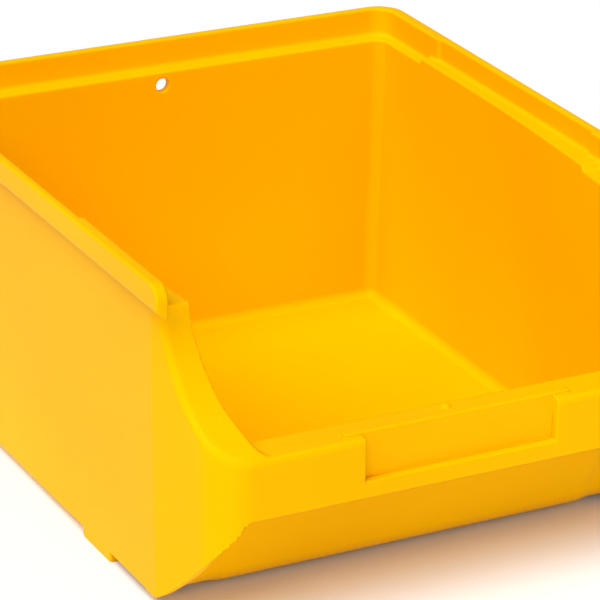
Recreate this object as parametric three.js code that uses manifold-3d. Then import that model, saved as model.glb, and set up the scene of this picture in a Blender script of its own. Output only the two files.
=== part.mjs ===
// Open-fronted stackable storage bin, one injection moulding in yellow polypropylene.
// Millimetres. Origin: bottom centre of the bounding box. +X right, +Y back, +Z up.
// The moulding is divided into its named features, which meet on flat planes
// or stand a small clearance apart where they meet on a slope.

import * as THREE from 'three';
import { mergeVertices } from 'three/addons/utils/BufferGeometryUtils.js';
import Module from 'manifold-3d';

// ---------------------------------------------------------------- driving dimensions
const WIDTH = 137;
const DEPTH = 160;
const HEIGHT = 82;
const WALL = 2.2;
const CLEARANCE = 0.3;

const HALF_WIDTH = WIDTH / 2;
const FRONT = -DEPTH / 2;
const BACK = DEPTH / 2;

// Floor and walls. The walls lean out towards the rim by their draft.
const FLOOR_BOTTOM = 1.4;
const FLOOR_TOP = FLOOR_BOTTOM + WALL;
const SIDE_BOTTOM = 2.6;
const SIDE_OUTER_LOW = 63.5;
const SIDE_OUTER_HIGH = 65;
const REAR_OUTER_LOW = 74.9;
const REAR_OUTER_HIGH = 76.2;

// Rim: a ledge that carries the bin above, and an upstanding flange round it.
// The rim's underside slopes up from the walls to the flange's outer bottom edge.
const RIM_BOTTOM = 73.6;
const FLANGE_BOTTOM = 76.1;
const RIM_FOOT_OVERHANG = 3;
const LEDGE_TOP = 74.8;
const PAD_TOP = 76;
const FLANGE = 2.2;
const FLANGE_END_EXTRA = 0.9;
const RIM_FRONT = -66.2;
const RIM_NOSE_RADIUS = 4;
const RIM_SPLIT = 68;
const RIM_CORNER_RADIUS = 7;
const WALL_CORNER_RADIUS = 3;
const THIN_FLANGE_SPAN = [-23.4, 50.2];
const PAD_SPAN = [-29, 54];

// Open front: cheeks, mouth flange, lip and label panel.
const CORNER_Y = -56;
const CHEEK_X = 64.2;
const CHEEK_TAPER = THREE.MathUtils.degToRad(11);
const CHEEK_RADIUS = 8;
const PANEL_HALF = 50;
const LIP_TOP = 44;
const LIP_BOTTOM = LIP_TOP - WALL;
const LIP_BACK = -69;
const PANEL_BOTTOM = 29.5;
const LABEL_HALF = 24.2;
const LABEL_BOTTOM = 33.7;
const LABEL_TOP = 44.8;
const BOSS_HALF = 28.5;
const BOSS_BOTTOM = 31.5;
const MOUTH_PROFILE = [[-60, 74.2], [-60.2, 70], [-61.9, 64.5], [-64.6, 59], [-68, 53.8], [-72.5, 49.4], [-80, 44]];
const SKIRT_PROFILE = [[-56, 2.6], [-59.4, 4.8], [-63.5, 8.2], [-67.8, 12], [-75.2, 19.5], [-78.8, 25], [-80, 29.5]];
const MOUTH_INNER_EDGE = [[57.4, -57.8], [57.4, -60], [54.3, -66.5], [52.3, -72], [PANEL_HALF, -80]];

// Inner hopper: the body narrows inside the cheeks from the flare forward.
const FLOOR_FRONT = -46;
const TOE_Y = -50.8;
const FLARE_LOW = { back: [61.3, -28], front: [50.5, -50.3] };
const FLARE_HIGH = { back: [62.8, -30], front: [58.3, -60] };
const HOPPER_HALF = 49;
const HOPPER_TOP_THICKNESS = 2.5;
const TOE_BEND_SHARE = 0.1;
const UNDERCUT_START = LIP_BOTTOM + 3;

// Stacking lugs under the side walls, and the hanging hole in the rear wall.
const LUG_LENGTH = 15;
const LUG_CENTRES = { front: -24.5, rear: 51 };
const HOLE_DIAMETER = 3.5;
const HOLE_HEIGHT = 71.2;
const HOLE_FACETS = 24;

const CURVE_STEPS = 12;
const ARC_STEPS = 6;

// ---------------------------------------------------------------- solid helpers
const wasm = await Module();
wasm.setup();

const plastic = new THREE.MeshStandardMaterial({ color: 0xffb000, roughness: 0.35, metalness: 0 });

function outlineShape(points) {
  return new THREE.Shape(points.map(([u, v]) => new THREE.Vector2(u, v)));
}

function extrude(points, length) {
  return new THREE.ExtrudeGeometry(outlineShape(points), { depth: length, bevelEnabled: false });
}

// A plan outline of (x, y) points, raised from z0 to z1.
function extrudeZ(points, z0, z1) {
  return extrude(points, z1 - z0).translate(0, 0, z0);
}

// A side outline of (y, z) points, run from x0 to x1.
function extrudeX(points, x0, x1) {
  const turn = new THREE.Matrix4().makeBasis(
    new THREE.Vector3(0, 1, 0), new THREE.Vector3(0, 0, 1), new THREE.Vector3(1, 0, 0));
  return extrude(points, x1 - x0).applyMatrix4(turn).translate(x0, 0, 0);
}

// A front outline of (x, z) points, run from y0 to y1.
function extrudeY(points, y0, y1) {
  const turn = new THREE.Matrix4().makeBasis(
    new THREE.Vector3(1, 0, 0), new THREE.Vector3(0, 0, 1), new THREE.Vector3(0, -1, 0));
  return extrude(points, y1 - y0).applyMatrix4(turn).translate(0, y1, 0);
}

function block(x0, x1, y0, y1, z0, z1) {
  return new THREE.BoxGeometry(x1 - x0, y1 - y0, z1 - z0)
    .translate((x0 + x1) / 2, (y0 + y1) / 2, (z0 + z1) / 2);
}

// A drafted slab: the convex plan outline planAt(z), carried from z0 up to z1 in equal levels.
function loft(planAt, z0, z1, levels = 1) {
  const heights = Array.from({ length: levels + 1 }, (_, i) => z0 + ((z1 - z0) * i) / levels);
  const count = planAt(z0).length;
  const positions = heights.flatMap((z) => planAt(z).flatMap(([x, y]) => [x, y, z]));
  const index = [];
  for (let level = 0; level < levels; level += 1) {
    const low = level * count;
    const high = low + count;
    for (let i = 0; i < count; i += 1) {
      const next = (i + 1) % count;
      index.push(low + i, low + next, high + next, low + i, high + next, high + i);
    }
  }
  const top = levels * count;
  for (let i = 1; i < count - 1; i += 1) {
    index.push(0, i + 1, i, top, top + i, top + i + 1);
  }
  const geometry = new THREE.BufferGeometry();
  geometry.setAttribute('position', new THREE.Float32BufferAttribute(positions, 3));
  geometry.setIndex(index);
  return geometry;
}

function toSolid(geometry) {
  const bare = geometry.clone();
  bare.deleteAttribute('normal');
  bare.deleteAttribute('uv');
  const merged = mergeVertices(bare, 1e-4);
  return new wasm.Manifold(new wasm.Mesh({
    numProp: 3,
    vertProperties: new Float32Array(merged.attributes.position.array),
    triVerts: new Uint32Array(merged.index.array),
  }));
}

function toGeometry(solid) {
  const mesh = solid.getMesh();
  const geometry = new THREE.BufferGeometry();
  geometry.setAttribute('position', new THREE.BufferAttribute(mesh.vertProperties, 3));
  geometry.setIndex(new THREE.BufferAttribute(mesh.triVerts, 1));
  return geometry;
}

function union(...geometries) {
  return toGeometry(geometries.map(toSolid).reduce((sum, piece) => sum.add(piece)));
}

function intersection(...geometries) {
  return toGeometry(geometries.map(toSolid).reduce((common, piece) => common.intersect(piece)));
}

function difference(geometry, cutter) {
  return toGeometry(toSolid(geometry).subtract(toSolid(cutter)));
}

// The same geometry mirrored to the other side of the bin.
function mirrored(geometry) {
  const copy = (geometry.index ? geometry : mergeVertices(geometry)).clone();
  copy.deleteAttribute('normal');
  copy.deleteAttribute('uv');
  copy.scale(-1, 1, 1);
  const order = copy.index.array;
  for (let i = 0; i < order.length; i += 3) {
    [order[i + 1], order[i + 2]] = [order[i + 2], order[i + 1]];
  }
  return copy;
}

// ---------------------------------------------------------------- outline helpers
function smooth(points, steps = CURVE_STEPS) {
  const curve = new THREE.SplineCurve(points.map(([u, v]) => new THREE.Vector2(u, v)));
  return curve.getPoints(steps).map((p) => [p.x, p.y]);
}

function arc(centre, radius, from, to, steps = ARC_STEPS) {
  return Array.from({ length: steps + 1 }, (_, i) => {
    const angle = from + ((to - from) * i) / steps;
    return [centre[0] + radius * Math.cos(angle), centre[1] + radius * Math.sin(angle)];
  });
}

// The polyline moved sideways by distance, to the left of its direction of travel.
function offset(points, distance) {
  return points.map(([u, v], i) => {
    const before = points[Math.max(i - 1, 0)];
    const after = points[Math.min(i + 1, points.length - 1)];
    const length = Math.hypot(after[0] - before[0], after[1] - before[1]);
    return [u - (distance * (after[1] - before[1])) / length, v + (distance * (after[0] - before[0])) / length];
  });
}

// Half-width and depth of the walls' outer faces at a height.
function draft(low, high, z) {
  return low + ((high - low) * (z - SIDE_BOTTOM)) / (RIM_BOTTOM - SIDE_BOTTOM);
}

const sideOuter = (z) => draft(SIDE_OUTER_LOW, SIDE_OUTER_HIGH, z);
const sideInner = (z) => sideOuter(z) - WALL;
const rearOuter = (z) => draft(REAR_OUTER_LOW, REAR_OUTER_HIGH, z);
const rearInner = (z) => rearOuter(z) - WALL;

// ---------------------------------------------------------------- floor and walls
function floorPanel() {
  const side = sideInner(FLOOR_BOTTOM) - CLEARANCE;
  const back = rearInner(FLOOR_BOTTOM) - CLEARANCE;
  const [flareX, flareY] = FLARE_LOW.back;
  const [toeX, toeY] = FLARE_LOW.front;
  const narrowX = flareX + ((toeX - flareX) * (FLOOR_FRONT - flareY)) / (toeY - flareY) - 2 * CLEARANCE;
  const half = [[side, back], [side, flareY], [narrowX, FLOOR_FRONT]];
  const other = half.map(([x, y]) => [-x, y]).reverse();
  return extrudeZ([...half, ...other], FLOOR_BOTTOM, FLOOR_TOP);
}

function rearWall() {
  const plan = (z) => [
    [-sideOuter(z), rearInner(z)], [sideOuter(z), rearInner(z)],
    [sideOuter(z), rearOuter(z)], [-sideOuter(z), rearOuter(z)]];
  const wall = loft(plan, FLOOR_BOTTOM, RIM_BOTTOM);
  const drill = new THREE.CylinderGeometry(HOLE_DIAMETER / 2, HOLE_DIAMETER / 2, WALL * 4, HOLE_FACETS)
    .translate(0, REAR_OUTER_HIGH, HOLE_HEIGHT);
  return difference(wall, drill);
}

function sideWall() {
  const plan = (z) => [
    [sideInner(z), CORNER_Y], [sideOuter(z), CORNER_Y],
    [sideOuter(z), rearInner(z) - CLEARANCE], [sideInner(z), rearInner(z) - CLEARANCE]];
  return loft(plan, SIDE_BOTTOM, RIM_BOTTOM);
}

function stackingLug(centreY) {
  const side = sideOuter(SIDE_BOTTOM);
  return block(side - WALL, side, centreY - LUG_LENGTH / 2, centreY + LUG_LENGTH / 2, 0, SIDE_BOTTOM);
}

// ---------------------------------------------------------------- rim
// How far the rim's underside lies inside its outer face at a height.
const undersideInset = (z) => (RIM_FOOT_OVERHANG * (FLANGE_BOTTOM - z)) / (FLANGE_BOTTOM - RIM_BOTTOM);

function sideRim() {
  const inner = HALF_WIDTH - FLANGE;
  const thickInner = inner - FLANGE_END_EXTRA;
  const ledgeInner = sideInner(RIM_BOTTOM);
  const insideFlange = HALF_WIDTH - FLANGE / 2;
  const noseCentre = [RIM_FRONT + RIM_NOSE_RADIUS, HEIGHT - RIM_NOSE_RADIUS];
  const flangeSide = (back) => [
    [back, RIM_BOTTOM], [back, HEIGHT],
    ...arc(noseCentre, RIM_NOSE_RADIUS, Math.PI / 2, Math.PI), [RIM_FRONT, RIM_BOTTOM]];
  const flange = extrudeX(flangeSide(RIM_SPLIT), inner, HALF_WIDTH);
  const frontEnd = extrudeX(flangeSide(THIN_FLANGE_SPAN[0]), thickInner, HALF_WIDTH);
  const rearEnd = block(thickInner, HALF_WIDTH, THIN_FLANGE_SPAN[1], RIM_SPLIT, RIM_BOTTOM, HEIGHT);
  const [mouthX, mouthBack] = MOUTH_INNER_EDGE[0];
  const mouthFront = MOUTH_INNER_EDGE[1][1];
  const ledge = extrudeZ([
    [insideFlange, RIM_SPLIT], [ledgeInner, RIM_SPLIT], [ledgeInner, FLARE_HIGH.back[1]],
    [mouthX, mouthBack], [mouthX, mouthFront], [insideFlange, mouthFront]], RIM_BOTTOM, LEDGE_TOP);
  const pad = block(ledgeInner, insideFlange, PAD_SPAN[0], PAD_SPAN[1], RIM_BOTTOM, PAD_TOP);
  const underneath = [0, HEIGHT].map((z) => [HALF_WIDTH - undersideInset(z), z]);
  const cutter = extrudeY([underneath[0], [underneath[1][0], 0], underneath[1]], FRONT, BACK);
  return difference(union(flange, frontEnd, rearEnd, ledge, pad), cutter);
}

// The plan line round the back, from the right side to the left.
function backLine({ half, back, radius }) {
  return [
    [half, RIM_SPLIT], ...arc([half - radius, back - radius], radius, 0, Math.PI / 2),
    ...arc([radius - half, back - radius], radius, Math.PI / 2, Math.PI), [-half, RIM_SPLIT]];
}

// The U-shaped plan band between an outer line and an inner one.
function backBand(outer, inner) {
  return [...backLine(outer), ...backLine(inner).reverse()];
}

function rearRim() {
  const outside = { half: HALF_WIDTH, back: BACK, radius: RIM_CORNER_RADIUS };
  const flangeInside = {
    half: HALF_WIDTH - FLANGE - FLANGE_END_EXTRA, back: BACK - FLANGE, radius: RIM_CORNER_RADIUS - FLANGE };
  const ledgeInside = { half: sideInner(RIM_BOTTOM), back: rearInner(RIM_BOTTOM), radius: WALL_CORNER_RADIUS };
  const footPlan = (z) => {
    const inset = undersideInset(z);
    return backLine({ half: HALF_WIDTH - inset, back: BACK - inset, radius: RIM_CORNER_RADIUS - inset });
  };
  const envelope = union(
    loft(footPlan, RIM_BOTTOM, FLANGE_BOTTOM), extrudeZ(backLine(outside), FLANGE_BOTTOM, HEIGHT));
  const bands = union(
    extrudeZ(backBand(outside, flangeInside), RIM_BOTTOM, HEIGHT),
    extrudeZ(backBand(outside, ledgeInside), RIM_BOTTOM, LEDGE_TOP));
  return intersection(bands, envelope);
}

// ---------------------------------------------------------------- open front
// Plan line of the cheek's outer face, from the side wall round to the front panel.
function cheekLine() {
  const centre = [0, FRONT + CHEEK_RADIUS];
  const straight = centre[1] + CHEEK_RADIUS * Math.sin(-CHEEK_TAPER) - CORNER_Y;
  centre[0] = CHEEK_X + straight * Math.tan(CHEEK_TAPER) - CHEEK_RADIUS * Math.cos(CHEEK_TAPER);
  return [[CHEEK_X, CORNER_Y], ...arc(centre, CHEEK_RADIUS, -CHEEK_TAPER, -Math.PI / 2), [PANEL_HALF, FRONT]];
}

const mouthTop = () => smooth(MOUTH_PROFILE);
const mouthUnder = (gap = 0) => {
  const line = offset(mouthTop(), WALL + gap);
  const [firstY] = line[0];
  const inside = line.filter(([y, z]) => z < RIM_BOTTOM && y >= FRONT);
  return [[firstY, RIM_BOTTOM], ...inside];
};

function mouthFlange() {
  const top = [[MOUTH_PROFILE[0][0], RIM_BOTTOM], ...mouthTop().filter(([, z]) => z < RIM_BOTTOM)];
  const band = [...top, [FRONT, LIP_BOTTOM], ...mouthUnder().reverse()];
  const plan = [...cheekLine(), ...MOUTH_INNER_EDGE.toReversed(), [MOUTH_INNER_EDGE[0][0], CORNER_Y]];
  return intersection(extrudeX(band, 0, HALF_WIDTH), extrudeZ(plan, 0, HEIGHT));
}

function cheek() {
  const outer = cheekLine();
  const inner = offset(outer, -WALL);
  inner[0] = [CHEEK_X - WALL, CORNER_Y];
  inner[inner.length - 1] = [PANEL_HALF, FRONT + WALL];
  const skirt = extrudeZ([...outer, ...inner.reverse()], 0, HEIGHT);
  const under = mouthUnder(CLEARANCE);
  const region = [
    ...smooth(SKIRT_PROFILE), [FRONT, LIP_BOTTOM - CLEARANCE], ...under.toReversed(), [CORNER_Y, RIM_BOTTOM]];
  return intersection(skirt, extrudeX(region, PANEL_HALF, HALF_WIDTH));
}

// A front plate with the label notch open at its top.
function notchedPlate(half, bottom, top, y0, y1) {
  return extrudeY([
    [-half, bottom], [half, bottom], [half, top], [LABEL_HALF, top], [LABEL_HALF, LABEL_BOTTOM],
    [-LABEL_HALF, LABEL_BOTTOM], [-LABEL_HALF, top], [-half, top]], y0, y1);
}

// The front skirt, with the thicker surround of the label recess behind it.
function frontPanel() {
  return union(
    notchedPlate(PANEL_HALF, PANEL_BOTTOM, LIP_TOP, FRONT, FRONT + WALL),
    notchedPlate(BOSS_HALF, BOSS_BOTTOM, LABEL_TOP, FRONT + WALL, FRONT + 2 * WALL));
}

// The set-back panel that a label lies on. It fills the surround, so its face is the recess's own floor.
function labelPanel() {
  return block(-LABEL_HALF, LABEL_HALF, FRONT + WALL, FRONT + 2 * WALL, LABEL_BOTTOM, LABEL_TOP);
}

function lipFlange() {
  const panelBack = FRONT + WALL;
  const bossBack = FRONT + 2 * WALL;
  return extrudeZ([
    [-PANEL_HALF, LIP_BACK], [-PANEL_HALF, panelBack], [-BOSS_HALF, panelBack], [-BOSS_HALF, bossBack],
    [BOSS_HALF, bossBack], [BOSS_HALF, panelBack], [PANEL_HALF, panelBack], [PANEL_HALF, LIP_BACK]],
  LIP_BOTTOM, LIP_TOP);
}

// ---------------------------------------------------------------- inner hopper
// Side line of the hopper's front wall, from under the lip down to the floor.
function hopperOuterLine() {
  const run = TOE_Y - LIP_BACK;
  const top = [LIP_BACK - HOPPER_TOP_THICKNESS, LIP_BOTTOM];
  const toeStart = [TOE_Y - run * TOE_BEND_SHARE, FLOOR_BOTTOM + TOE_BEND_SHARE * (LIP_BOTTOM - FLOOR_BOTTOM)];
  const bend = new THREE.QuadraticBezierCurve(
    new THREE.Vector2(...toeStart), new THREE.Vector2(TOE_Y, FLOOR_BOTTOM),
    new THREE.Vector2(FLOOR_FRONT, FLOOR_BOTTOM));
  return [top, ...bend.getPoints(ARC_STEPS).map((p) => [p.x, p.y])];
}

function hopperFrontWall() {
  const outer = hopperOuterLine();
  const inner = offset(outer, WALL);
  inner[0] = [LIP_BACK, LIP_BOTTOM];
  inner[inner.length - 1] = [FLOOR_FRONT, FLOOR_TOP];
  return extrudeX([...outer, ...inner.reverse()], -HOPPER_HALF, HOPPER_HALF);
}

// Plan of the flared side at a height, from its back edge forward past the lip.
function flarePlan(z) {
  const rise = (z - FLOOR_BOTTOM) / (RIM_BOTTOM - FLOOR_BOTTOM);
  const between = (low, high) => low.map((value, i) => value + (high[i] - value) * rise);
  const [x0, y0] = between(FLARE_LOW.back, FLARE_HIGH.back);
  const [x1, y1] = between(FLARE_LOW.front, FLARE_HIGH.front);
  const x2 = x1 + ((x1 - x0) * (FRONT - y1)) / (y1 - y0);
  return [[x0, y0], [x2, FRONT], [x2 + WALL, FRONT], [x0 + WALL, y0]];
}

function hopperSide() {
  const slab = loft(flarePlan, FLOOR_BOTTOM, RIM_BOTTOM, 2 * CURVE_STEPS);
  const under = mouthUnder(CLEARANCE).filter(([, z]) => z > UNDERCUT_START && z < RIM_BOTTOM - CLEARANCE);
  const region = [
    ...hopperOuterLine(), [FLARE_LOW.back[1], FLOOR_BOTTOM],
    [FLARE_LOW.back[1], RIM_BOTTOM - CLEARANCE], ...under];
  const insideWall = (z) => {
    const side = sideInner(z) - CLEARANCE;
    return [[0, BACK], [0, FRONT], [side, FRONT], [side, BACK]];
  };
  return intersection(slab, extrudeX(region, 0, HALF_WIDTH), loft(insideWall, 0, HEIGHT));
}

// ---------------------------------------------------------------- assembly
const bin = new THREE.Group();

function place(name, geometry) {
  const mesh = new THREE.Mesh(geometry, plastic);
  mesh.name = name;
  bin.add(mesh);
}

function placePair(name, geometry) {
  place(`right_${name}`, geometry);
  place(`left_${name}`, mirrored(geometry));
}

place('floor_panel', floorPanel());
place('rear_wall', rearWall());
placePair('side_wall', sideWall());
place('hopper_front_wall', hopperFrontWall());
placePair('hopper_side', hopperSide());
placePair('cheek', cheek());
placePair('mouth_flange', mouthFlange());
place('lip_flange', lipFlange());
place('front_panel', frontPanel());
place('label_panel', labelPanel());
place('rear_rim', rearRim());
placePair('rim', sideRim());
for (const [where, centreY] of Object.entries(LUG_CENTRES)) {
  placePair(`${where}_stacking_lug`, stackingLug(centreY));
}

export default bin;
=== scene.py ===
import math

import bpy
import numpy as np
from mathutils import Matrix, Vector


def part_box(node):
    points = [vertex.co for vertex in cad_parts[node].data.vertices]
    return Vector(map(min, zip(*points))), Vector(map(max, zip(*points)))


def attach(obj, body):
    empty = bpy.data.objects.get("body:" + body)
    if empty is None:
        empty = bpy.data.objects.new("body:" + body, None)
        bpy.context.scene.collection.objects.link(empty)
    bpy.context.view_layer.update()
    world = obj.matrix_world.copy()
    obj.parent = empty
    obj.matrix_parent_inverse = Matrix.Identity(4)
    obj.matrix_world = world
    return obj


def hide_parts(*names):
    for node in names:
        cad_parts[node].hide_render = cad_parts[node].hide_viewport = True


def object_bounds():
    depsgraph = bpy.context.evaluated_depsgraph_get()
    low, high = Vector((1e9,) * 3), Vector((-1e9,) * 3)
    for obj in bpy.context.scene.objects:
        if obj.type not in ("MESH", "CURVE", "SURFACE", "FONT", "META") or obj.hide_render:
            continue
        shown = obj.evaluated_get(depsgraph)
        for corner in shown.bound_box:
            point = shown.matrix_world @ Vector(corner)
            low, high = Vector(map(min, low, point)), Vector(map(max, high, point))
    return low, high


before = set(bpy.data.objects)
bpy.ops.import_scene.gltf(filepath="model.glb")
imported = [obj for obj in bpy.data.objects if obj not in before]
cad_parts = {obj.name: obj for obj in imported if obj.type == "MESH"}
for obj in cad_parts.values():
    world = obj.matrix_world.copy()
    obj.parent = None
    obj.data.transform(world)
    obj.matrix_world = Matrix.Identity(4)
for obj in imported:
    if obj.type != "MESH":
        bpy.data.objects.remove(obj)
cad_low, cad_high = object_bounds()

# The bin is one injection moulding, so it is modelled here as one continuous skin.
# Its shape is a signed distance in millimetres, negative inside the plastic, built from
# flat planes and rounded joins, and meshed at the end. Main sizes come from the CAD nodes.
MM = 0.001
TINY = 1e-6
FAR = 300.0  # further than any part of the bin


def corners_mm(node):
    """Lowest and highest corner of a CAD node, in millimetres."""
    low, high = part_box(node)
    return low / MM, high / MM


# ---------------------------------------------------------------- sizes from the frame
HALF_WIDTH = cad_high.x / MM
FRONT = cad_low.y / MM
BACK = cad_high.y / MM
HEIGHT = cad_high.z / MM

wall_low, wall_high = corners_mm("right_side_wall")
CORNER_Y, SIDE_BOTTOM = wall_low.y, wall_low.z
RIM_BOTTOM, SIDE_OUTER_HIGH = wall_high.z, wall_high.x
floor_low, floor_high = corners_mm("floor_panel")
FLOOR_BOTTOM, FLOOR_TOP = floor_low.z, floor_high.z
WALL = FLOOR_TOP - FLOOR_BOTTOM
PANEL_BOTTOM = corners_mm("front_panel")[0].z
label_low, label_high = corners_mm("label_panel")
LABEL_HALF, LABEL_FACE = label_high.x, label_low.y
LABEL_BOTTOM, LABEL_TOP = label_low.z, label_high.z
LIP_TOP = corners_mm("lip_flange")[1].z
RIM_FRONT = corners_mm("right_rim")[0].y
REAR_OUTER_HIGH = corners_mm("rear_wall")[1].y
lug_boxes = [corners_mm(f"right_{where}_stacking_lug") for where in ("front", "rear")]

# ---------------------------------------------------------------- sizes of the details
# Spans are from front to back along y. Points in profiles are (y, z), those in plan are (x, y).
SIDE_OUTER_LOW = lug_boxes[0][1].x
REAR_DRAFT = 1.3
LEDGE_TOP = RIM_BOTTOM + 1.2
PAD_TOP = LEDGE_TOP + 1.2
PAD_SPAN = (-29.0, 54.0)
FLANGE = 2.2
FLANGE_BOTTOM = 76.1
RIM_FOOT_OVERHANG = 3.0
FLANGE_END_EXTRA = 0.9
THIN_FLANGE_SPAN = (-23.4, 50.2)
STEP_RUN = 1.0
BODY_TOP = RIM_BOTTOM + 0.4
LEDGE_FRONT = -60.0
CHEEK_TAPER = math.radians(11)
CHEEK_RADIUS = 8.0
BOSS_HALF = 28.5
BOSS_BOTTOM = 31.5
MOUTH_PROFILE = (
    (-60, 74.2), (-60.2, 70), (-61.9, 64.5), (-64.6, 59), (-68, 53.8), (-72.5, 49.4), (-80, 44))
SKIRT_PROFILE = (
    (-56, 2.6), (-59.4, 4.8), (-63.5, 8.2), (-67.8, 12), (-75.2, 19.5), (-78.8, 25), (-80, 29.5))
MOUTH_END = (-FAR, -114.0)
FLARE_LOW = ((61.3, -28.0), (50.5, -50.3))
FLARE_HIGH = ((62.8, -30.0), (58.3, -60.0))
# Two points of the sloped underside. Its toe stands further forward than the CAD's.
HOPPER_TOP = (-71.5, 41.8)
HOPPER_TOE = (-58.0, 5.4)
HOPPER_WEB_BACK = -52.0
HOPPER_WEB_TOP = 36.0
HOLE_RADIUS = 1.75
HOLE_HEIGHT = 71.2
HOLE_START = 60
# The small bump left by the mould's gate, on top of the lip.
GATE_MARK = (-0.5, -72.5)
GATE_MARK_RADIUS = 1.5
GATE_MARK_HEIGHT = 0.9

# Radii of the moulded rounds and fillets.
RIM_CORNER = 7.0
WALL_CORNER = 3.0
RIM_NOSE = 4.0
RIM_EDGE = 0.7
RIM_COVE = 1.0
MOUTH_ROUND = 1.5
FLOOR_FILLET = 2.4
TOE_FILLET = 3.8
FLARE_BLEND = 9.0
LIP_CREASE = 0.8
INNER_EDGE = 0.6
SKIRT_EDGE = 0.8
WEB_FILLET = 0.6
WEDGE_FILLET = 2.2
UNDER_RIM = 0.45
RECESS_EDGE = 0.35
LUG_EDGE = 0.5


# ---------------------------------------------------------------- distance helpers
def round_max(a, b, radius):
    """Where both shapes are, with their shared edge rounded."""
    sharp = np.minimum(np.maximum(a, b), -radius)
    return sharp + np.hypot(np.maximum(a + radius, 0), np.maximum(b + radius, 0))


def round_min(a, b, radius):
    """Where either shape is, with the corner between them filled by a fillet."""
    sharp = np.maximum(np.minimum(a, b), radius)
    return sharp - np.hypot(np.maximum(radius - a, 0), np.maximum(radius - b, 0))


def ramp(value, start, run):
    """0 before start, 1 after start + run, smooth between."""
    t = np.clip((value - start) / run, 0, 1)
    return t * t * (3 - 2 * t)


def within(value, span):
    """1 inside the span and 0 outside it, with soft ends."""
    return ramp(value, span[0], STEP_RUN) * (1 - ramp(value, span[1] - STEP_RUN, STEP_RUN))


def smooth_line(points, steps=6):
    """A Catmull-Rom curve through the points."""
    pts = np.array(points, float)
    pts = np.vstack([2 * pts[0] - pts[1], pts, 2 * pts[-1] - pts[-2]])
    out = []
    for a, b, c, d in zip(pts, pts[1:], pts[2:], pts[3:]):
        for t in np.arange(steps) / steps:
            out.append(0.5 * (2 * b + (c - a) * t + (2 * a - 5 * b + 4 * c - d) * t ** 2
                              + (3 * b - a - 3 * c + d) * t ** 3))
    return out + [pts[-2]]


def beside(line, u, v):
    """Signed distance to an open line, positive on the left of its direction."""
    nearest = np.full(np.broadcast(u, v).shape, np.inf)
    side = np.zeros_like(nearest)
    for (u0, v0), (u1, v1) in zip(line, line[1:]):
        du, dv = u1 - u0, v1 - v0
        length = math.hypot(du, dv)
        along = np.clip(((u - u0) * du + (v - v0) * dv) / length ** 2, 0, 1)
        apart = np.hypot(u - u0 - along * du, v - v0 - along * dv)
        cross = (du * (v - v0) - dv * (u - u0)) / length
        # at a shared vertex, the segment that the point is more squarely beside decides the sign
        closer = (apart < nearest - TINY) | ((apart < nearest + TINY) & (np.abs(cross) > np.abs(side)))
        nearest = np.where(closer, apart, nearest)
        side = np.where(closer, cross, side)
    return np.where(side >= 0, nearest, -nearest)


mouth_line = [(LEDGE_FRONT, FAR), *smooth_line(MOUTH_PROFILE), MOUTH_END]
skirt_line = [(FAR, SIDE_BOTTOM), *smooth_line(SKIRT_PROFILE), (-FAR, PANEL_BOTTOM)]


# ---------------------------------------------------------------- walls
def lean(low, high, z):
    """A wall plane's place at a height, by its draft."""
    return low + (high - low) * (z - SIDE_BOTTOM) / (RIM_BOTTOM - SIDE_BOTTOM)


def side_outer(z):
    return lean(SIDE_OUTER_LOW, SIDE_OUTER_HIGH, z)


def rear_outer(z):
    return lean(REAR_OUTER_HIGH - REAR_DRAFT, REAR_OUTER_HIGH, z)


def skin(half, y, z):
    """The outer envelope's walls, and the y of the nearest place on the outer face."""
    side = half - side_outer(z)
    cheek = side * math.cos(CHEEK_TAPER) - (y - CORNER_Y) * math.sin(CHEEK_TAPER)
    flank = np.maximum(side, cheek)
    front = FRONT - y
    walls = round_max(flank, front, CHEEK_RADIUS)
    toward_flank = np.maximum(flank + CHEEK_RADIUS, 0)
    toward_front = np.maximum(front + CHEEK_RADIUS, 0)
    turn = toward_front / np.maximum(np.hypot(toward_flank, toward_front), TINY)
    outer_y = y + walls * turn
    rear = y - rear_outer(z)
    return round_max(walls, rear, WALL_CORNER + WALL), outer_y


def flare(half, y, z):
    """The flared inner side of the open front, which twists a little as it rises."""
    rise = (z - FLOOR_BOTTOM) / (RIM_BOTTOM - FLOOR_BOTTOM)
    (x0, y0), (x1, y1) = (
        (low[0] + (high[0] - low[0]) * rise, low[1] + (high[1] - low[1]) * rise)
        for low, high in zip(FLARE_LOW, FLARE_HIGH))
    run, forward = x1 - x0, y1 - y0
    return ((y - y0) * run - (half - x0) * forward) / np.hypot(run, forward)


def basin(y, z):
    """The space over the floor and the sloped underside, in the middle of the bin."""
    along = math.hypot(HOPPER_TOE[0] - HOPPER_TOP[0], HOPPER_TOE[1] - HOPPER_TOP[1])
    out_y = (HOPPER_TOE[1] - HOPPER_TOP[1]) / along
    out_z = -(HOPPER_TOE[0] - HOPPER_TOP[0]) / along
    slope = (y - HOPPER_TOP[0]) * out_y + (z - HOPPER_TOP[1]) * out_z + WALL
    return round_max(FLOOR_TOP - z, slope, TOE_FILLET)


def inside(half, y, z):
    """The space that the bin holds, open above: negative in the air."""
    under = round_min(basin(y, z), LIP_TOP - z, LIP_CREASE)
    side = round_max(half - side_outer(z) + WALL, flare(half, y, z), FLARE_BLEND)
    walls = round_max(side, y - rear_outer(z) + WALL, WALL_CORNER)
    return round_max(walls, under, FLOOR_FILLET)


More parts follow.
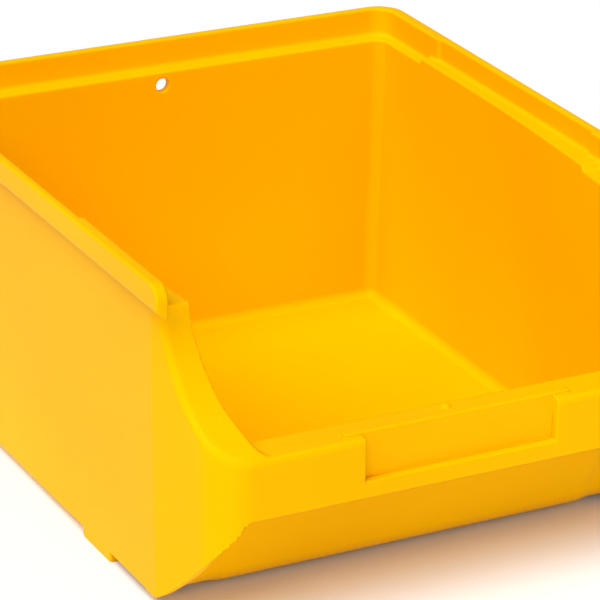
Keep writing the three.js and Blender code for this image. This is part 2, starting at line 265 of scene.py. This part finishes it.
def rim(half, y, z):
    """The upstanding flange with its ledge and raised pads."""
    outline = round_max(half - HALF_WIDTH, y - BACK, RIM_CORNER)
    nose = round_max(RIM_FRONT - y, z - HEIGHT, RIM_NOSE)
    fall, run = FLANGE_BOTTOM - RIM_BOTTOM, RIM_FOOT_OVERHANG
    under = ((FLANGE_BOTTOM - z) * run + outline * fall) / math.hypot(run, fall)
    solid = round_max(round_max(outline, nose, RIM_EDGE), under, RIM_EDGE)
    thickness = FLANGE + FLANGE_END_EXTRA * (1 - within(y, THIN_FLANGE_SPAN))
    inner = round_max(half - HALF_WIDTH + thickness, y - BACK + FLANGE, RIM_CORNER - FLANGE)
    ledge = LEDGE_TOP + (PAD_TOP - LEDGE_TOP) * within(y, PAD_SPAN)
    above_ledge = round_max(inner, ledge - z, RIM_COVE)
    before_ledge = np.maximum(inner, y - LEDGE_FRONT)
    return round_max(solid, -np.minimum(above_ledge, before_ledge), RIM_EDGE)


def slab(value, low, high):
    return np.maximum(low - value, value - high)


def hopper_web(half, y, z):
    """The sloped underside carried on past the flared inner walls to the side walls."""
    plate = slab(basin(y, z), 0, WALL - WEB_FILLET)
    reach = half - side_outer(z) + WALL / 2
    return np.maximum(np.maximum(plate, reach), np.maximum(y - HOPPER_WEB_BACK, z - HOPPER_WEB_TOP))


def lug(half, y, z, low, high):
    plan = round_max(slab(half, low.x, high.x), slab(y, low.y, high.y), LUG_EDGE)
    return round_max(plan, slab(z, 0, FLOOR_TOP), LUG_EDGE)


def label_recess(half, y, z):
    """The notch in the front panel, open at the top."""
    return np.maximum(np.maximum(half - LABEL_HALF, LABEL_BOTTOM - z), y - LABEL_FACE)


def label_boss(half, y, z):
    """The set-back plate behind the notch, a little wider than it."""
    depth = slab(y, LABEL_FACE, LABEL_FACE + WALL)
    plate = round_max(depth, slab(z, BOSS_BOTTOM, LABEL_TOP), RECESS_EDGE)
    return round_max(half - BOSS_HALF, plate, RECESS_EDGE)


def gate_mark(x, y, z):
    """The top of a ball that stands out of the lip."""
    depth = z - LIP_TOP - GATE_MARK_HEIGHT + GATE_MARK_RADIUS
    ball = np.hypot(np.hypot(x - GATE_MARK[0], y - GATE_MARK[1]), depth) - GATE_MARK_RADIUS
    return np.maximum(ball, LIP_TOP - WALL / 2 - z)


def hanging_hole(x, y, z):
    return np.maximum(np.hypot(x, z - HOLE_HEIGHT) - HOLE_RADIUS, HOLE_START - y)


def moulding(x, y, z):
    """Signed distance to the whole bin."""
    half = np.abs(x)
    walls, outer_y = skin(half, y, z)
    envelope = round_max(walls, -beside(mouth_line, y, z), MOUTH_ROUND)
    space = inside(half, y, z)
    outer_skin = round_max(-(envelope + WALL), beside(skirt_line, outer_y, z), SKIRT_EDGE)
    inner_skin = round_min(space - WALL, hopper_web(half, y, z), WEB_FILLET)
    body = np.maximum(envelope, round_min(inner_skin, outer_skin, WEDGE_FILLET))
    body = np.maximum(body, z - BODY_TOP)
    whole = round_max(round_min(body, rim(half, y, z), UNDER_RIM), -space, INNER_EDGE)
    whole = round_max(whole, -label_recess(half, y, z), RECESS_EDGE)
    whole = np.minimum(whole, label_boss(half, y, z))
    for low, high in lug_boxes:
        whole = np.minimum(whole, lug(half, y, z, low, high))
    whole = np.minimum(whole, gate_mark(x, y, z))
    return round_max(whole, -hanging_hole(x, y, z), RECESS_EDGE)


# ---------------------------------------------------------------- meshing
FINE = 0.45
COARSE = 1.9
# The sampled region, and the bands of it that hold small details. The x places start half a
# step from the middle plane and are mirrored across it.
X_REGION, X_BANDS = (0.21, 69.3), [(0.21, 3.07), (22.9, 29.9), (47.9, 69.3)]
Y_REGION, Y_BANDS = (-81.1, 81.1), [(-81.1, -45.3), (-33.3, -15.7), (42.3, 60.3), (70.3, 81.1)]
Z_REGION, Z_BANDS = (-0.9, 83.1), [(-0.9, 51.3), (68.3, 83.1)]
NORMAL_STEP = 0.03
SETTLE_ROUNDS = 2
SETTLE_REACH = 0.25
LEAST_STEEPNESS = 0.25


def grid_lines(low, high, bands):
    """Sample places from low to high, fine inside the bands and coarse between them."""
    marks = sorted({low, high, *(edge for band in bands for edge in band)})
    lines = [low]
    for start, end in zip(marks, marks[1:]):
        middle = (start + end) / 2
        step = FINE if any(a <= middle <= b for a, b in bands) else COARSE
        count = max(1, math.ceil((end - start) / step))
        lines.extend(np.linspace(start, end, count + 1)[1:])
    return np.array(lines)


def cell_corners(values, cells):
    """The values at the eight corners of each listed cell."""
    i, j, k = cells
    return {(a, b, c): values[i + a, j + b, k + c] for a in (0, 1) for b in (0, 1) for c in (0, 1)}


def surface_net(values, lines):
    """One vertex in each grid cell that the surface crosses, one quad across each crossed grid edge."""
    solid = values < 0
    nx, ny, nz = (size - 1 for size in solid.shape)
    count = sum(solid[a:a + nx, b:b + ny, c:c + nz].astype(np.int8)
                for a in (0, 1) for b in (0, 1) for c in (0, 1))
    cells = np.nonzero((count > 0) & (count < 8))
    number = np.full(count.shape, -1)
    number[cells] = np.arange(len(cells[0]))
    corner = cell_corners(values, cells)
    total = np.zeros((len(cells[0]), 3))
    hits = np.zeros(len(cells[0]))
    for axis in range(3):
        for b in (0, 1):
            for c in (0, 1):
                start = [b, c]
                start.insert(axis, 0)
                end = list(start)
                end[axis] = 1
                f0, f1 = corner[tuple(start)], corner[tuple(end)]
                crossed = (f0 < 0) != (f1 < 0)
                part = np.where(crossed, f0 / np.where(crossed, f0 - f1, 1), 0)
                place = np.array(start, float)[None, :].repeat(len(part), 0)
                place[:, axis] = part
                total += place * crossed[:, None]
                hits += crossed
    local = total / hits[:, None]
    points = np.stack([
        lines[a][cells[a]] + local[:, a] * (lines[a][cells[a] + 1] - lines[a][cells[a]])
        for a in range(3)], 1)

    quads = []
    for axis in range(3):
        u, v = [(1, 2), (2, 0), (0, 1)][axis]
        first = solid.take(range(solid.shape[axis] - 1), axis)
        second = solid.take(range(1, solid.shape[axis]), axis)
        place = np.array(np.nonzero(first != second))
        ring = []
        for back_u, back_v in ((1, 1), (0, 1), (0, 0), (1, 0)):
            at = place.copy()
            at[u] -= back_u
            at[v] -= back_v
            ring.append(number[tuple(at)])
        ring = np.stack(ring, 1)
        leaving = first[tuple(place)]
        ring[~leaving] = ring[~leaving][:, ::-1]
        quads.append(ring)
    return points, np.concatenate(quads)


def normals_at(points):
    """The distance's gradient, which is the surface's outward direction."""
    slope = np.zeros_like(points)
    for corner in ((1, -1, -1), (-1, -1, 1), (-1, 1, -1), (1, 1, 1)):
        way = np.array(corner, float)
        slope += way * moulding(*(points + NORMAL_STEP * way).T)[:, None]
    return slope / (4 * NORMAL_STEP)


def settle(points):
    """Moves each vertex onto the true surface."""
    for _ in range(SETTLE_ROUNDS):
        slope = normals_at(points)
        steep = np.maximum((slope ** 2).sum(1), LEAST_STEEPNESS)
        move = -moulding(*points.T) / steep
        points = points + slope * np.clip(move, -SETTLE_REACH, SETTLE_REACH)[:, None]
    return points


def build_moulding(material):
    x_half = grid_lines(*X_REGION, X_BANDS)
    x_lines = np.concatenate([-x_half[::-1], x_half])
    y_lines = grid_lines(*Y_REGION, Y_BANDS)
    z_lines = grid_lines(*Z_REGION, Z_BANDS)
    lines = (x_lines, y_lines, z_lines)
    values = moulding(x_lines[:, None, None], y_lines[None, :, None], z_lines[None, None, :])
    points, quads = surface_net(values, lines)
    points = settle(points)
    slope = normals_at(points)
    slope /= np.maximum(np.linalg.norm(slope, axis=1), TINY)[:, None]

    mesh = bpy.data.meshes.new("bin_moulding")
    mesh.from_pydata((points * MM).tolist(), [], quads.tolist())
    mesh.materials.append(material)
    mesh.shade_smooth()
    mesh.normals_split_custom_set_from_vertices(slope.tolist())
    piece = bpy.data.objects.new("bin_moulding", mesh)
    bpy.context.scene.collection.objects.link(piece)
    return piece


# ---------------------------------------------------------------- material
DEEPER_YELLOW = (0.95, 0.465, 0.0, 1)
PALER_YELLOW = (0.98, 0.495, 0.0, 1)
SHEEN_TINT = (1.0, 0.8, 0.35, 1)
CLOUD_SCALE, SHEEN_SCALE, GRAIN_SCALE = 14, 45, 1400
ROUGHNESS = (0.26, 0.36)


def polypropylene():
    """Golden-yellow plastic: faint cloudiness in its colour, a soft and slightly uneven sheen."""
    material = bpy.data.materials.new("golden_polypropylene")
    material.use_nodes = True
    nodes, links = material.node_tree.nodes, material.node_tree.links
    shader = nodes["Principled BSDF"]
    shader.inputs["IOR"].default_value = 1.49
    shader.inputs["Specular IOR Level"].default_value = 0.03
    shader.inputs["Specular Tint"].default_value = SHEEN_TINT
    shader.inputs["Subsurface Weight"].default_value = 0.12
    shader.inputs["Subsurface Radius"].default_value = (0.9, 0.45, 0.05)
    shader.inputs["Subsurface Scale"].default_value = 0.002
    place = nodes.new("ShaderNodeTexCoord")

    def noise(scale, detail):
        texture = nodes.new("ShaderNodeTexNoise")
        texture.inputs["Scale"].default_value = scale
        texture.inputs["Detail"].default_value = detail
        links.new(place.outputs["Object"], texture.inputs["Vector"])
        return texture.outputs["Fac"]

    cloud = nodes.new("ShaderNodeValToRGB")
    cloud.color_ramp.elements[0].position = 0.35
    cloud.color_ramp.elements[0].color = DEEPER_YELLOW
    cloud.color_ramp.elements[1].position = 0.65
    cloud.color_ramp.elements[1].color = PALER_YELLOW
    links.new(noise(CLOUD_SCALE, 3), cloud.inputs["Fac"])
    links.new(cloud.outputs["Color"], shader.inputs["Base Color"])

    sheen = nodes.new("ShaderNodeMapRange")
    sheen.inputs["To Min"].default_value, sheen.inputs["To Max"].default_value = ROUGHNESS
    links.new(noise(SHEEN_SCALE, 4), sheen.inputs["Value"])
    links.new(sheen.outputs["Result"], shader.inputs["Roughness"])

    grain = nodes.new("ShaderNodeBump")
    grain.inputs["Strength"].default_value = 0.12
    grain.inputs["Distance"].default_value = 0.00004
    links.new(noise(GRAIN_SCALE, 2), grain.inputs["Height"])
    links.new(grain.outputs["Normal"], shader.inputs["Normal"])
    return material


moulding_piece = build_moulding(polypropylene())
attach(moulding_piece, "root")
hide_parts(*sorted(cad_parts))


# ---------------------------------------------------------------- studio
FLOOR_REACH = 6.0
FLOOR_WHITE = (0.93, 0.93, 0.93, 1)
BACKDROP_STRENGTH = 0.13
# name, direction of the light's source, softness in degrees, strength
SUNS = (
    ("key_light", (-0.50, -0.20, 0.84), 50, 3.2),
    ("front_light", (-0.10, -0.92, 0.45), 40, 0.95),
)
CAMERA_AZIMUTH, CAMERA_ELEVATION, CAMERA_ROLL = -28.05, 23.18, 1.30
CAMERA_PLACE = (-0.36647, -0.68982, 0.37579)
LENS, SENSOR_WIDTH = 214.1, 36


def make_floor():
    material = bpy.data.materials.new("pale_floor")
    material.use_nodes = True
    shader = material.node_tree.nodes["Principled BSDF"]
    shader.inputs["Base Color"].default_value = FLOOR_WHITE
    shader.inputs["Roughness"].default_value = 0.8
    mesh = bpy.data.meshes.new("floor")
    corners = [(FLOOR_REACH * i, FLOOR_REACH * j, 0) for i, j in ((-1, -1), (1, -1), (1, 1), (-1, 1))]
    mesh.from_pydata(corners, [], [(0, 1, 2, 3)])
    mesh.materials.append(material)
    floor = bpy.data.objects.new("floor", mesh)
    bpy.context.scene.collection.objects.link(floor)


def soft_sun(name, direction, softness, strength):
    """Even light from a broad source far away, so the floor stays evenly pale."""
    light = bpy.data.lights.new(name, "SUN")
    light.angle = math.radians(softness)
    light.energy = strength
    lamp = bpy.data.objects.new(name, light)
    lamp.rotation_euler = (-Vector(direction)).to_track_quat("-Z", "Y").to_euler()
    bpy.context.scene.collection.objects.link(lamp)


def make_studio():
    world = bpy.data.worlds.new("studio")
    world.use_nodes = True
    backdrop = world.node_tree.nodes["Background"]
    backdrop.inputs["Color"].default_value = (1, 1, 1, 1)
    backdrop.inputs["Strength"].default_value = BACKDROP_STRENGTH
    bpy.context.scene.world = world
    bpy.context.scene.view_settings.view_transform = "Standard"
    for sun in SUNS:
        soft_sun(*sun)


def make_camera():
    """Looks down from the front left, with a little roll."""
    azimuth, elevation, roll = map(math.radians, (CAMERA_AZIMUTH, CAMERA_ELEVATION, CAMERA_ROLL))
    level = math.cos(elevation)
    back = Vector((math.sin(azimuth) * level, -math.cos(azimuth) * level, math.sin(elevation)))
    right = Vector((0, 0, 1)).cross(back).normalized()
    up = back.cross(right)
    across = right * math.cos(roll) + up * math.sin(roll)
    upright = up * math.cos(roll) - right * math.sin(roll)
    data = bpy.data.cameras.new("camera")
    data.sensor_width = SENSOR_WIDTH
    data.lens = LENS
    camera = bpy.data.objects.new("camera", data)
    turn = Matrix((across, upright, back)).transposed()
    camera.matrix_world = Matrix.Translation(Vector(CAMERA_PLACE)) @ turn.to_4x4()
    bpy.context.scene.collection.objects.link(camera)
    bpy.context.scene.camera = camera


make_floor()
make_studio()
make_camera()
